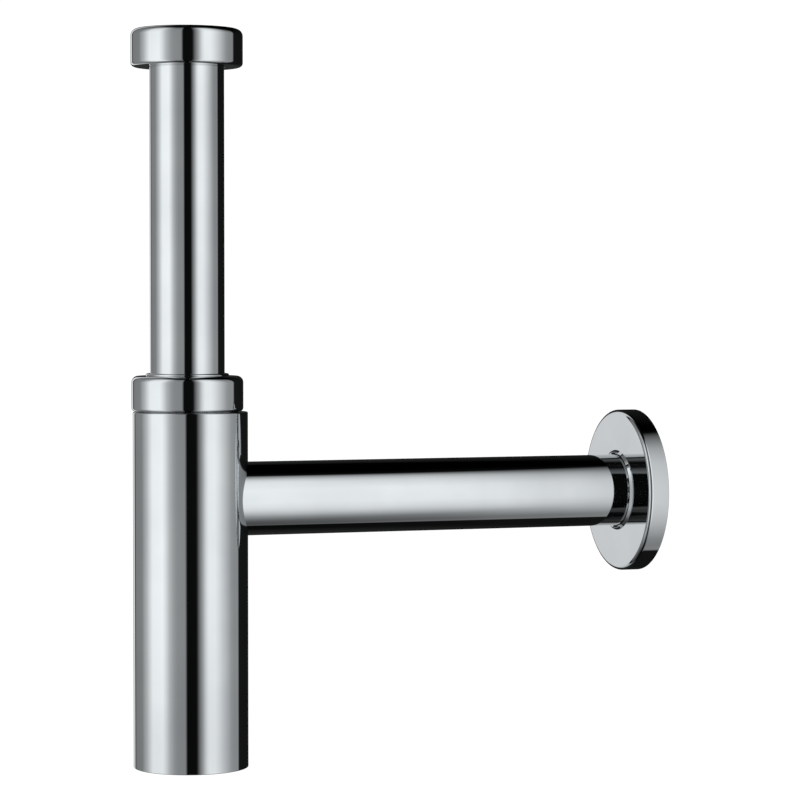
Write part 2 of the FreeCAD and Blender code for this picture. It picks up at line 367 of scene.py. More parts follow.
def turn_outline(outline: Outline, thread: Thread | None = None) -> Surface:
    """Turn an outline about the local Z axis.

    Formula: at each angle, x is shift + radius times cosine, y is radius times sine, and z is along. A thread
    adds its offset to the radius, and tilts the normal by the offset's slope both ways.

    Args:
        outline: The outline to turn.
        thread: A thread on the stretch at its own radius.

    Returns:
        The closed surface.
    """
    if thread is not None:
        outline = outline.with_rows(thread.radius, thread.places())
    radius, along, out, lift, shift = (column[:, None] for column in outline.rows.T)
    steps, count = STEPS_AROUND, len(radius)
    angle = np.linspace(0, math.tau, steps, endpoint=False)[None]
    out = np.broadcast_to(out, (count, steps))
    lift = np.broadcast_to(lift, (count, steps)).copy()
    side = np.zeros((count, steps))
    if thread is not None:
        inside = (along > thread.start - NUDGE) & (along < thread.end)
        inside &= np.abs(radius - thread.radius) < thread.edge + NUDGE
        offset = thread.offset(along, angle) * inside
        slope_along = (thread.offset(along + NUDGE, angle) - offset) / NUDGE * inside
        slope_around = (thread.offset(along, angle + NUDGE) - offset) / NUDGE * inside
        facing = np.sign(out)
        lift -= slope_along * facing
        side -= slope_around * facing / radius.clip(EDGE_BREAK)
        radius = radius + offset
    place_x, place_y = shift + radius * np.cos(angle), radius * np.sin(angle)
    points = np.stack(np.broadcast_arrays(place_x, place_y, along), axis=-1)
    normal_x = out * np.cos(angle) - side * np.sin(angle)
    normal_y = out * np.sin(angle) + side * np.cos(angle)
    normals = np.stack([normal_x, normal_y, lift], axis=-1)
    grid = np.arange(count * steps).reshape(count, steps)
    if outline.closed:
        faces = [band(grid, np.roll(grid, -1, axis=0))]
    else:
        ends = ((grid[0, 0], grid[1]), (grid[-1, 0], grid[-2]))
        fans = [np.stack([np.full(steps, tip), near, np.roll(near, -1)], axis=-1) for tip, near in ends]
        faces = [band(grid[1:-2], grid[2:-1]), np.vstack(fans)]
    return Surface(points.reshape(-1, 3), normals.reshape(-1, 3), faces)


def ring_corners(
    inner: float, outer: float, start: float, end: float, rounding: float = EDGE_BREAK, shift: float = 0.0
) -> list[Corner]:
    """Give the four corners of a plain ring.

    Args:
        inner: The hole's radius.
        outer: The outside radius.
        start: Where the ring starts along its axis.
        end: Where it ends.
        rounding: The radius of the arc on each corner.
        shift: How far the hole's circle stands off the axis.

    Returns:
        The corners.
    """
    return [
        Corner(inner, start, rounding, shift),
        Corner(outer, start, rounding),
        Corner(outer, end, rounding),
        Corner(inner, end, rounding, shift),
    ]


def cord_corners(middle: float, cord: float, place: float) -> list[Corner]:
    """Give the four corners of an O-ring: a square round its cord, rounded off nearly to a circle.

    Args:
        middle: The radius of the cord's middle line.
        cord: The cord's own radius.
        place: Where the cord lies along its axis.

    Returns:
        The corners.
    """
    return ring_corners(middle - cord, middle + cord, place - cord, place + cord, cord * CORD_ROUND)


def turned_piece(
    name: str,
    corners: Sequence[Corner],
    axis: Axis = Axis.UPRIGHT,
    origin: Sequence[float] = (0.0, 0.0, 0.0),
    thread: Thread | None = None,
) -> bpy.types.Object:
    """Turn one outline into a piece on one of the trap's axes.

    Args:
        name: The piece's name.
        corners: The outline's corners.
        axis: The axis that it is turned about.
        origin: A point on that axis.
        thread: A thread on the outline.

    Returns:
        The new object.
    """
    surface = turn_outline(Outline.trace(corners), thread).settled()
    return surface.placed(axis, np.array(origin)).to_object(name)


def ring_piece(
    node: str,
    name: str,
    bore: float,
    rounding: float = EDGE_BREAK,
    axis: Axis = Axis.UPRIGHT,
    on_inlet: bool = False,
    shifted: bool = False,
) -> bpy.types.Object:
    """Turn a plain ring that fills the box of a CAD node.

    Args:
        node: The CAD node.
        name: The piece's name.
        bore: The hole's radius.
        rounding: The radius of the arc on each corner.
        axis: The axis that it is turned about.
        on_inlet: Whether the ring stands on the inlet axis, and not on the middle of its box.
        shifted: Whether the hole lies on the inlet axis, off the ring's own middle.

    Returns:
        The new object.
    """
    box = NodeBox.of(node)
    along = axis.value[-1]
    origin = np.zeros(3) if on_inlet else box.centre
    origin[along] = 0
    shift = -origin[0] if shifted else 0.0
    corners = ring_corners(bore, box.size[1] / 2, box.low[along], box.high[along], rounding, shift)
    return turned_piece(name, corners, axis, origin)


def add_node(
    tree: bpy.types.NodeTree,
    kind: str,
    settings: dict | None = None,
    inputs: dict | None = None,
    stops: Sequence[tuple[float, Sequence[float]]] = (),
) -> bpy.types.Node:
    """Add a shader node with its settings, values and links.

    Args:
        tree: The node tree to add to.
        kind: The node's type name without its ShaderNode, such as "TexNoise".
        settings: Properties of the node.
        inputs: Values or output sockets, by the input's name or number.
        stops: The (place, linear colour) stops of a node with a ramp, two or more.

    Returns:
        The new node.
    """
    node = tree.nodes.new(f"ShaderNode{kind}")
    for name, value in (settings or {}).items():
        setattr(node, name, value)
    for name, value in (inputs or {}).items():
        if isinstance(value, bpy.types.NodeSocket):
            tree.links.new(value, node.inputs[name])
        else:
            node.inputs[name].default_value = value
    for index, (place, colour) in enumerate(stops):
        elements = node.color_ramp.elements
        element = elements[index] if index < RAMP_STOPS else elements.new(place)
        element.position, element.color = place, colour
    return node


def cleared(owner: bpy.types.Material | bpy.types.World) -> bpy.types.NodeTree:
    """Turn on the nodes of a material or a world, and clear them away.

    Args:
        owner: The material or world.

    Returns:
        Its empty node tree.
    """
    owner.use_nodes = True
    owner.node_tree.nodes.clear()
    return owner.node_tree


class Run(Enum):
    """Which way the maker's marks run on a finish: how much finer they are in each local direction."""

    ROUND_UPRIGHT = (1.0, 1.0, STREAK)
    ALONG_UPRIGHT = (STREAK, STREAK, 1.0)
    ROUND_OUTLET = (STREAK, 1.0, 1.0)
    ALONG_OUTLET = (1.0, STREAK, STREAK)
    EVEN = (1.0, 1.0, 1.0)


@dataclass(frozen=True)
class Finish:
    """What all finishes share: names, two colours, gloss, and two real pattern sizes in millimetres."""

    name: str
    slot: str
    base: str
    shade: str
    metallic: float
    rough_low: float
    rough_high: float
    grain: float
    patch: float
    bump: float
    run: Run = Run.EVEN
    ior: float = 1.5

    # A noise's values gather round its middle, so only this part of its range is spread over the result.
    PATCH_RANGE = (0.35, 0.65)
    GLOSS_RANGE = (0.45, 1.05)
    # How much of the fine grain goes into the gloss beside the patches, and how many octaves each noise has.
    GRAIN_SHARE = 0.5
    PATCH_DETAIL = 3.0
    GRAIN_DETAIL = 2.0

    def material(self) -> bpy.types.Material:
        """Give the finish's material, which is built once for each name and run.

        Returns:
            The material.
        """
        name = f"{self.name}_{self.run.name.lower()}"
        found = bpy.data.materials.get(name)
        return self.build(name) if found is None else found

    def build(self, name: str) -> bpy.types.Material:
        """Build the node tree.

        A soft noise of patch size varies the colour and the roughness, as uneven plating, flow or wear
        does. A finer noise of grain size, stretched the way the maker's marks run, adds to the roughness and
        lifts the surface by the bump's depth.

        Args:
            name: The material's name.

        Returns:
            The material.
        """
        material = bpy.data.materials.new(name)
        tree = cleared(material)
        place = add_node(tree, "TexCoord").outputs["Object"]
        stretch = add_node(tree, "Mapping", inputs={"Vector": place, "Scale": self.run.value})
        patch = add_node(tree, "TexNoise", inputs={
            "Vector": place, "Scale": 1 / (self.patch * MM), "Detail": self.PATCH_DETAIL})
        grain = add_node(tree, "TexNoise", inputs={
            "Vector": stretch.outputs["Vector"], "Scale": 1 / (self.grain * MM), "Detail": self.GRAIN_DETAIL})
        share = add_node(tree, "MapRange", inputs={
            "Value": patch.outputs["Fac"], "From Min": self.PATCH_RANGE[0], "From Max": self.PATCH_RANGE[1]})
        stops = [(0, to_linear(self.shade)), (1, to_linear(self.base))]
        colour = add_node(tree, "ValToRGB", inputs={"Fac": share.outputs["Result"]}, stops=stops)
        mixed = add_node(tree, "Math", {"operation": "MULTIPLY_ADD"}, {
            0: grain.outputs["Fac"], 1: self.GRAIN_SHARE, 2: patch.outputs["Fac"]})
        rough = add_node(tree, "MapRange", inputs={
            "Value": mixed.outputs["Value"], "From Min": self.GLOSS_RANGE[0], "From Max": self.GLOSS_RANGE[1],
            "To Min": self.rough_low, "To Max": self.rough_high})
        bump = add_node(tree, "Bump", inputs={
            "Height": grain.outputs["Fac"], "Distance": self.bump * MM})
        shader = add_node(tree, "BsdfPrincipled", inputs={
            "Base Color": colour.outputs["Color"], "Metallic": self.metallic, "IOR": self.ior,
            "Roughness": rough.outputs["Result"], "Normal": bump.outputs["Normal"]})
        add_node(tree, "OutputMaterial", inputs={"Surface": shader.outputs["BSDF"]})
        return material


# Nickel-chrome plate, buffed: a clear, cool mirror with the faintest haze. Buffing marks are too fine to
# show, so its grain is drawn coarser than they are.
CHROME = Finish(
    "buffed_chrome_plate", "chrome_plate", "#CDD0D1", "#C6C9CB", metallic=1.0,
    rough_low=0.02, rough_high=0.05, grain=0.9, patch=30.0, bump=0.0003,
)
# Brass, sand cast and shot blasted: dull yellow with a fine pebbly skin and darker patches.
CAST_BRASS = Finish(
    "shot_blasted_brass", "cast_brass", "#C9A45C", "#A88442", metallic=1.0,
    rough_low=0.28, rough_high=0.5, grain=0.6, patch=9.0, bump=0.05,
)
# Brass, turned on a lathe: brighter yellow with fine rings from the tool.
TURNED_BRASS = Finish(
    "lathe_turned_brass", "cast_brass", "#D2AE66", "#BE9850", metallic=1.0,
    rough_low=0.16, rough_high=0.3, grain=0.5, patch=14.0, bump=0.012, run=Run.ROUND_OUTLET,
)
# Nitrile rubber, moulded: near black, with a dusty satin bloom.
RUBBER = Finish(
    "moulded_nitrile_rubber", "black_rubber", "#1B1B1C", "#262626", metallic=0.0,
    rough_low=0.55, rough_high=0.75, grain=0.35, patch=5.0, bump=0.01,
)
# White acetal, injection moulded: slightly waxy, with smooth flow patches.
ACETAL = Finish(
    "moulded_acetal", "white_acetal", "#E9E8E2", "#DEDCD3", metallic=0.0,
    rough_low=0.3, rough_high=0.42, grain=0.5, patch=6.0, bump=0.004, ior=1.48,
)
# Grey polypropylene, moulded in a spark-eroded tool: soft satin with a fine even texture.
POLYPROPYLENE = Finish(
    "spark_textured_polypropylene", "grey_polypropylene", "#8F9294", "#85888A", metallic=0.0,
    rough_low=0.38, rough_high=0.52, grain=0.4, patch=12.0, bump=0.012, ior=1.49,
)
# Spring steel, cold drawn: grey with fine lines along the wire.
SPRING_STEEL = Finish(
    "cold_drawn_spring_steel", "spring_steel", "#A3A5A6", "#8E9091", metallic=1.0,
    rough_low=0.22, rough_high=0.34, grain=0.5, patch=4.0, bump=0.004, run=Run.ROUND_UPRIGHT,
)


def dress(piece: bpy.types.Object, finish: Finish, node: str, keeps_node: bool = False) -> None:
    """Give a new piece its finish, and let it ride the body of the CAD node that it stands for.

    Args:
        piece: The new piece.
        finish: Its finish.
        node: The CAD node that it stands for.
        keeps_node: Whether the piece only adds to the node, so that the node stays in view.
    """
    piece.data.materials.append(finish.material())
    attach(piece, frame["nodes"][node]["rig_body"])
    if not keeps_node:
        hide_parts(node)
    log.info("%s: %d faces, %s", piece.name, len(piece.data.polygons), finish.slot)


def refinish(node: str, finish: Finish) -> None:
    """Give a CAD node whose shape is right a better material.

    Args:
        node: The CAD node.
        finish: Its finish.
    """
    kept = frame["nodes"][node]
    for material_slot in kept.material_slots:
        material_slot.link = "OBJECT"
        material_slot.material = finish.material()
    log.info("%s: kept from the CAD model, %s", node, finish.slot)


@dataclass
class InletAssembly:
    """The inlet tube with its flange, gasket and thrust ring, and the union nut that hangs on the flange."""

    tube_radius: float = 16.0
    tube_bore: float = 15.0
    flange_thickness: float = 1.2
    nut_hole: float = 16.3
    nut_top_round: float = 3.0
    nut_bottom_round: float = 1.8
    nut_mouth: float = 20.3
    nut_relief: float = 20.8
    nut_lip: float = 3.5
    thread_radius: float = 19.476
    thread_start: float = 0.25
    thread_end: float = 6.35
    thread_depth: float = 1.2
    thread_pitch: float = 2.309
    chamfer_depth: float = 0.15
    gasket_bore: float = 15.2
    ring_round: float = 0.2

    def build_nut(self) -> None:
        """Build the union nut with its rounded rims and its inside thread."""
        box = NodeBox.of("union_nut")
        bottom, top, radius = box.low[2], box.high[2], box.size[0] / 2
        lip = bottom + self.nut_lip
        corners = [
            Corner(self.nut_hole, bottom, SOFT_EDGE),
            Corner(radius, bottom, self.nut_bottom_round),
            Corner(radius, top, self.nut_top_round),
            Corner(self.nut_mouth, top),
            Corner(self.thread_radius, self.thread_end + self.chamfer_depth, INNER_CORNER),
            Corner(self.thread_radius, 0.0),
            Corner(self.nut_relief, 0.0, INNER_CORNER),
            Corner(self.nut_relief, lip, INNER_CORNER),
            Corner(self.nut_hole, lip),
        ]
        thread = Thread(
            self.thread_radius, self.thread_start, self.thread_end, self.thread_pitch, self.thread_depth
        )
        dress(turned_piece("union_nut_polished", corners, thread=thread), CHROME, "union_nut")

    def build_tube(self) -> None:
        """Build the tube, with its flange flared out of the top."""
        box = NodeBox.of("inlet_tube")
        top, end, flange = box.high[2], box.low[2], box.size[0] / 2
        under = top - self.flange_thickness
        corners = [
            Corner(self.tube_bore, top, SOFT_EDGE),
            Corner(flange, top, SOFT_EDGE),
            Corner(flange, under, SOFT_EDGE),
            Corner(self.tube_radius, under),
            Corner(self.tube_radius, end, SOFT_EDGE),
            Corner(self.tube_bore, end, SOFT_EDGE),
        ]
        finish = replace(CHROME, run=Run.ALONG_UPRIGHT)
        dress(turned_piece("inlet_tube_drawn", corners), finish, "inlet_tube")

    def build_rings(self) -> None:
        """Build the flat gasket on the flange and the thrust ring under it."""
        gasket = ring_piece("inlet_gasket", "inlet_gasket_flat", self.gasket_bore, SOFT_EDGE, on_inlet=True)
        dress(gasket, RUBBER, "inlet_gasket")
        thrust = ring_piece(
            "union_thrust_ring", "thrust_ring_moulded", self.nut_hole, self.ring_round, on_inlet=True
        )
        dress(thrust, ACETAL, "union_thrust_ring")

    def build(self) -> None:
        """Build every piece of the inlet."""
        self.build_nut()
        self.build_tube()
        self.build_rings()


@dataclass
class SlipJoint:
    """The slip nut over the trap's neck, and the glide ring and wedge seal that it presses on the tube."""

    hole: float = 16.3
    top_round: float = 2.8
    bottom_round: float = 1.5
    lip_radius: float = 17.9
    lip_height: float = 1.1
    lip_round: float = 0.9
    roof: float = 3.3
    thread_radius: float = 20.55
    thread_depth: float = 1.1
    thread_pitch: float = 2.309
    relief: float = 22.2
    relief_height: float = 2.9
    ring_round: float = 0.2
    seal_bore: float = 16.05
    seal_shoulder: float = 1.6
    cone_top: float = 19.29
    cone_end: float = 16.41

    def thread(self) -> Thread:
        """Give the nut's thread, which the neck's thread follows too. It runs at full depth into the relief.

        Returns:
            The thread.
        """
        box = NodeBox.of("slip_nut")
        start = box.low[2] + self.relief_height
        end = box.high[2] - self.lip_height - self.roof - EDGE_BREAK
        depth, edge = self.thread_depth, EDGE_BREAK
        return Thread(self.thread_radius, start, end, self.thread_pitch, depth, run_in=0.0, edge=edge)

    def build_nut(self) -> None:
        """Build the slip nut with its low lip, inside thread and relief at the foot."""
        box = NodeBox.of("slip_nut")
        bottom, rim, radius = box.low[2], box.high[2], box.size[0] / 2
        top = rim - self.lip_height
        roof = top - self.roof
        relief = bottom + self.relief_height
        corners = [
            Corner(self.hole, rim, SOFT_EDGE),
            Corner(self.lip_radius, rim, self.lip_round),
            Corner(self.lip_radius, top),
            Corner(radius, top, self.top_round),
            Corner(radius, bottom, self.bottom_round),
            Corner(self.relief, bottom),
            Corner(self.relief, relief, INNER_CORNER),
            Corner(self.thread_radius, relief),
            Corner(self.thread_radius, roof, INNER_CORNER),
            Corner(self.hole, roof),
        ]
        dress(turned_piece("slip_nut_polished", corners, thread=self.thread()), CHROME, "slip_nut")

    def build_rings(self) -> None:
        """Build the flat glide ring, and the seal with its head above its cone."""
        glide = ring_piece(
            "slip_glide_ring", "glide_ring_moulded", self.hole, self.ring_round, on_inlet=True
        )
        dress(glide, ACETAL, "slip_glide_ring")
        seal = NodeBox.of("inlet_wedge_seal")
        head, top, end = seal.size[0] / 2, seal.high[2], seal.low[2]
        corners = [
            Corner(self.seal_bore, top),
            Corner(head, top, SOFT_EDGE),
            Corner(head, top - self.seal_shoulder, SOFT_EDGE),
            Corner(self.cone_top, top - self.seal_shoulder, INNER_CORNER),
            Corner(self.cone_end, end),
            Corner(self.seal_bore, end),
        ]
        dress(turned_piece("wedge_seal_moulded", corners), RUBBER, "inlet_wedge_seal")

    def build(self) -> None:
        """Build every piece of the slip joint."""
        self.build_nut()
        self.build_rings()


@dataclass
class TrapBody:
    """The cast head with its threaded neck and its spigot, and the plain sleeve that covers it."""

    sleeve_wall: float = 0.9
    sleeve_roof: float = 1.2
    neck_hole: float = 20.75
    top_round: float = 0.5
    side_hole: float = 16.3
    hole_break: float = 0.2
    patch_reach: float = 20.0
    patch_columns: int = 36
    patch_rows: int = 24
    patch_rings: int = 4
    rim_steps: int = 4
    neck_core: float = 20.1
    neck_root: float = 20.35
    neck_thread_height: float = 0.8
    neck_thread_gap: float = 0.4
    washer_hole: float = 20.7
    spigot_bore: float = 12.0
    spigot_chamfer: float = 0.6
    cord: float = 0.95
    groove_width: float = 2.2
    groove_radius: float = 13.05

    def hole_rings(
        self, wall: float, spread: np.ndarray, edge: float, faces_out: bool
    ) -> tuple[np.ndarray, np.ndarray]:
        """Lay rings of points on a round wall, from the border of a patch to the edge of a round hole in it.

        Formula: each point moves straight from the border to the hole's edge, as seen along the hole, and
        stands on the wall at the square root of wall squared less its sideways place squared. The rings on
        the edge itself turn a quarter of an arc of the hole's break, from the wall into the hole.

        Args:
            wall: The wall's radius.
            spread: The border's points as seen along the hole: sideways and up from its middle.
            edge: The sign of the way into the wall, -1 for the outer wall and 1 for the inner wall.
            faces_out: Whether the wall's normals point away from the axis.

        Returns:
            The points and the normals, ring by ring, without the border itself.
        """
        direction = unit(spread)
        share = np.linspace(0, 1, self.patch_rings + 1)[1:, None, None]
        seen = spread * (1 - share) + direction * (self.side_hole + self.hole_break) * share
        turn = np.linspace(0, math.pi / 2, self.rim_steps + 1)[1:, None, None]
        rim = direction * (self.side_hole + self.hole_break * (1 - np.sin(turn)))
        flat = np.concatenate([seen, rim])
        depth = np.sqrt(wall**2 - flat[..., 0] ** 2)
        sink = np.concatenate([np.zeros(self.patch_rings), self.hole_break * (1 - np.cos(turn.ravel()))])
        points = np.stack([depth + edge * sink[:, None], flat[..., 0], flat[..., 1]], axis=-1)
        facing = 1 if faces_out else -1
        upright = np.stack([depth, flat[..., 0], np.zeros_like(depth)], axis=-1) / wall * facing
        inward = np.pad(-direction, ((0, 0), (1, 0)))
        tilt = np.concatenate([np.zeros(self.patch_rings), turn.ravel()])[:, None, None]
        return points, upright * np.cos(tilt) + np.broadcast_to(inward, points.shape) * np.sin(tilt)

    def build_sleeve(self) -> None:
        """Build the sleeve: a turned shell whose roof hole is off centre, with a round hole in its side.

        The shell's rows and columns leave out one block in the outer wall and one in the inner wall. Rings of
        points run from the outer block's border to the hole, through the wall, and back to the inner border.
        """
        box = NodeBox.of("outer_sleeve")
        top, bottom, radius = box.high[2], box.low[2], box.size[1] / 2
        centre_x = box.centre[0]
        outlet_z = NodeBox.of("outlet_tube").centre[2]
        bore = radius - self.sleeve_wall
        under = top - self.sleeve_roof
        corners = [
            Corner(self.neck_hole, top, EDGE_BREAK, -centre_x),
            Corner(radius, top, self.top_round),
            Corner(radius, bottom, SOFT_EDGE),
            Corner(bore, bottom, SOFT_EDGE),
            Corner(bore, under, INNER_CORNER),
            Corner(self.neck_hole, under, EDGE_BREAK, -centre_x),
        ]
        rows = np.linspace(outlet_z - self.patch_reach, outlet_z + self.patch_reach, self.patch_rows + 1)
        outline = Outline.trace(corners).with_rows(radius, rows).with_rows(bore, rows)
        shell = turn_outline(outline)
        radii, along = outline.rows[:, 0], outline.rows[:, 1]
        count, steps = len(outline.rows), STEPS_AROUND
        grid = np.arange(count * steps).reshape(count, steps)
        columns = np.arange(-self.patch_columns, self.patch_columns + 1) % steps
        keep = np.ones((count, steps), bool)
        loops = []
        for wall in (radius, bore):
            held = np.isclose(radii, wall) & (np.abs(along - outlet_z) < self.patch_reach + EDGE_BREAK)
            numbers = np.flatnonzero(held)
            keep[np.ix_(numbers[:-1], columns[:-1])] = False
            block = grid[np.ix_(numbers[np.argsort(along[numbers])], columns)]
            loops.append(np.concatenate([block[0, :-1], block[:-1, -1], block[-1, :0:-1], block[:0:-1, 0]]))
        quads = shell.faces[0].reshape(count, steps, 4)[keep]
        points, normals, rings = [shell.points], [shell.normals], [loops[0]]
        start = count * steps
        size = len(loops[0])
        for loop, wall, edge in ((loops[0], radius, -1), (loops[1], bore, 1)):
            spread = shell.points[loop][:, 1:] - (0, outlet_z)
            ring_points, ring_normals = self.hole_rings(wall, spread, edge, wall == radius)
            ring_points[..., 2] += outlet_z
            numbers = np.arange(start, start + ring_points.shape[0] * size).reshape(-1, size)
            start += numbers.size
            points.append(ring_points.reshape(-1, 3))
            normals.append(ring_normals.reshape(-1, 3))
            rings.extend(numbers if wall == radius else numbers[::-1])
        rings.append(loops[1])
        stack = np.array(rings)
        surface = Surface(np.vstack(points), np.vstack(normals), [quads, band(stack[:-1], stack[1:])])
        placed = surface.settled().placed(Axis.UPRIGHT, np.array([centre_x, 0, 0]))
        finish = replace(CHROME, run=Run.ROUND_UPRIGHT)
        dress(placed.to_object("outer_sleeve_polished"), finish, "outer_sleeve")

    def build_neck_thread(self) -> None:
        """Build the neck's thread: a ridge that follows the slip nut's groove, so that the two interlock.

        Its core lies under the neck's skin, and only the ridge stands out.
        """
        top = NodeBox.of("trap_head").high[2] - self.neck_thread_gap
        snap_ring_height = NodeBox.of("sleeve_snap_ring").size[2]
        bottom = NodeBox.of("outer_sleeve").high[2] + snap_ring_height + self.neck_thread_gap
        nut = SlipJoint().thread()
        start, end = bottom + EDGE_BREAK, top - EDGE_BREAK
        phase = (start - nut.start) / nut.pitch
        thread = Thread(self.neck_root, start, end, nut.pitch, self.neck_thread_height, phase)
        corners = ring_corners(self.neck_core, self.neck_root, bottom, top, INNER_CORNER)
        piece = turned_piece("neck_thread_cut", corners, thread=thread)
        dress(piece, replace(TURNED_BRASS, run=Run.ROUND_UPRIGHT), "trap_head", keeps_node=True)

    def build_washer(self) -> None:
        """Build the flat washer under the sleeve's roof, with its off-centre hole."""
        washer = ring_piece("sleeve_top_washer", "top_washer_moulded", self.washer_hole, shifted=True)
        dress(washer, ACETAL, "sleeve_top_washer")

    def build_spigot(self) -> None:
        """Build the spigot with a groove for each O-ring, and the two O-rings in them."""
        box, rings = NodeBox.of("outlet_spigot"), NodeBox.of("outlet_o_rings")
        start, end, radius = box.low[0], box.high[0], box.size[1] / 2
        places = (rings.low[0] + self.cord, rings.high[0] - self.cord)
        corners = [Corner(self.spigot_bore, start), Corner(radius, start)]
        for place in places:
            near, far = place - self.groove_width / 2, place + self.groove_width / 2
            corners += [
                Corner(radius, near),
                Corner(self.groove_radius, near, INNER_CORNER),
                Corner(self.groove_radius, far, INNER_CORNER),
                Corner(radius, far),
            ]
        corners += [
            Corner(radius, end - self.spigot_chamfer),
            Corner(radius - self.spigot_chamfer, end),
            Corner(self.spigot_bore, end),
        ]
        origin = (0, 0, box.centre[2])
        spigot = turned_piece("outlet_spigot_turned", corners, Axis.OUTLET, origin)
        dress(spigot, TURNED_BRASS, "outlet_spigot")
        middle = rings.size[1] / 2 - self.cord
        outlines = [Outline.trace(cord_corners(middle, self.cord, place)) for place in places]
        cords = [turn_outline(outline).settled() for outline in outlines]
        surface = joined(cords).placed(Axis.OUTLET, np.array(origin))
        dress(surface.to_object("outlet_o_rings_moulded"), RUBBER, "outlet_o_rings")

    def build(self) -> None:
        """Build every piece of the body."""
        self.build_sleeve()
        self.build_neck_thread()
        self.build_washer()
        self.build_spigot()
        refinish("trap_head", CAST_BRASS)
        refinish("sleeve_snap_ring", SPRING_STEEL)


@dataclass
class CleanoutCup:
    """The cup that screws out of the head's skirt, with its seal, base cap and centring ring."""

    bore: float = 20.9
    neck: float = 21.9
    neck_bore: float = 20.0
    shoulder_drop: float = 13.0
    taper: float = 2.0
    floor: float = 2.0
    floor_round: float = 4.0
    foot: float = 22.0
    foot_height: float = 3.0
    groove: float = 22.1
    groove_low: float = 5.0
    groove_high: float = 8.0
    thread_pitch: float = 3.0
    thread_depth: float = 0.8
    thread_start_gap: float = 2.2
    thread_end_gap: float = 0.5
    seal_bore: float = 22.1

    def build_cup(self) -> None:
        """Build the cup, with the thread on its neck and the groove for the centring ring."""
        box = NodeBox.of("cleanout_cup")
        bottom, top, radius = box.low[2], box.high[2], box.size[1] / 2
        shoulder = top - self.shoulder_drop
        groove_low, groove_high = bottom + self.groove_low, bottom + self.groove_high
        corners = [
            Corner(0, bottom),
            Corner(self.foot, bottom),
            Corner(self.foot, bottom + self.foot_height, INNER_CORNER),
            Corner(radius, bottom + self.foot_height),
            Corner(radius, groove_low),
            Corner(self.groove, groove_low, INNER_CORNER),
            Corner(self.groove, groove_high, INNER_CORNER),
            Corner(radius, groove_high),
            Corner(radius, shoulder, SOFT_EDGE),
            Corner(self.neck, shoulder, INNER_CORNER),
            Corner(self.neck, top, SOFT_EDGE),
            Corner(self.neck_bore, top, SOFT_EDGE),
            Corner(self.neck_bore, shoulder),
            Corner(self.bore, shoulder - self.taper),
            Corner(self.bore, bottom + self.floor, self.floor_round),
            Corner(0, bottom + self.floor),
        ]
        start, end = shoulder + self.thread_start_gap, top - self.thread_end_gap
        thread = Thread(self.neck, start, end, self.thread_pitch, -self.thread_depth)
        origin = (box.centre[0], 0, 0)
        piece = turned_piece("cleanout_cup_moulded", corners, origin=origin, thread=thread)
        dress(piece, POLYPROPYLENE, "cleanout_cup")

    def build_rings(self) -> None:
        """Build the flat seal on the cup's shoulder, and the ring that centres its foot in the sleeve."""
        dress(ring_piece("cup_seal", "cup_seal_flat", self.seal_bore, SOFT_EDGE), RUBBER, "cup_seal")
        ring = ring_piece("sleeve_centring_ring", "centring_ring_moulded", self.groove, SOFT_EDGE)
        dress(ring, ACETAL, "sleeve_centring_ring")

    def build(self) -> None:
        """Build every piece of the cup."""
        self.build_cup()
        self.build_rings()
        refinish("cup_base_cap", CHROME)


@dataclass
class OutletPipe:
    """The straight outlet tube, with the line near its end that marks how deep it goes into the wall."""

    bore: float = 15.0
    mark_radius: float = 15.6
    mark_width: float = 0.8
    mark_gap: float = 0.1
    end_chamfer: float = 0.4

    def build(self) -> None:
        """Build the tube."""
        box = NodeBox.of("outlet_tube")
        start, end, radius = box.low[0], box.high[0], box.size[1] / 2
        mark = NodeBox.of("escutcheon_plate").high[0] + self.mark_gap
        corners = [
            Corner(self.bore, start, SOFT_EDGE),
            Corner(radius, start, SOFT_EDGE),
            Corner(radius, mark, INNER_CORNER),
            Corner(self.mark_radius, mark, INNER_CORNER),
            Corner(self.mark_radius, mark + self.mark_width, INNER_CORNER),
            Corner(radius, mark + self.mark_width, INNER_CORNER),
            Corner(radius, end - self.end_chamfer, INNER_CORNER),
            Corner(radius - self.end_chamfer, end, INNER_CORNER),
            Corner(self.bore, end),
        ]
        piece = turned_piece("outlet_tube_drawn", corners, Axis.OUTLET, (0, 0, box.centre[2]))
        dress(piece, replace(CHROME, run=Run.ALONG_OUTLET), "outlet_tube")


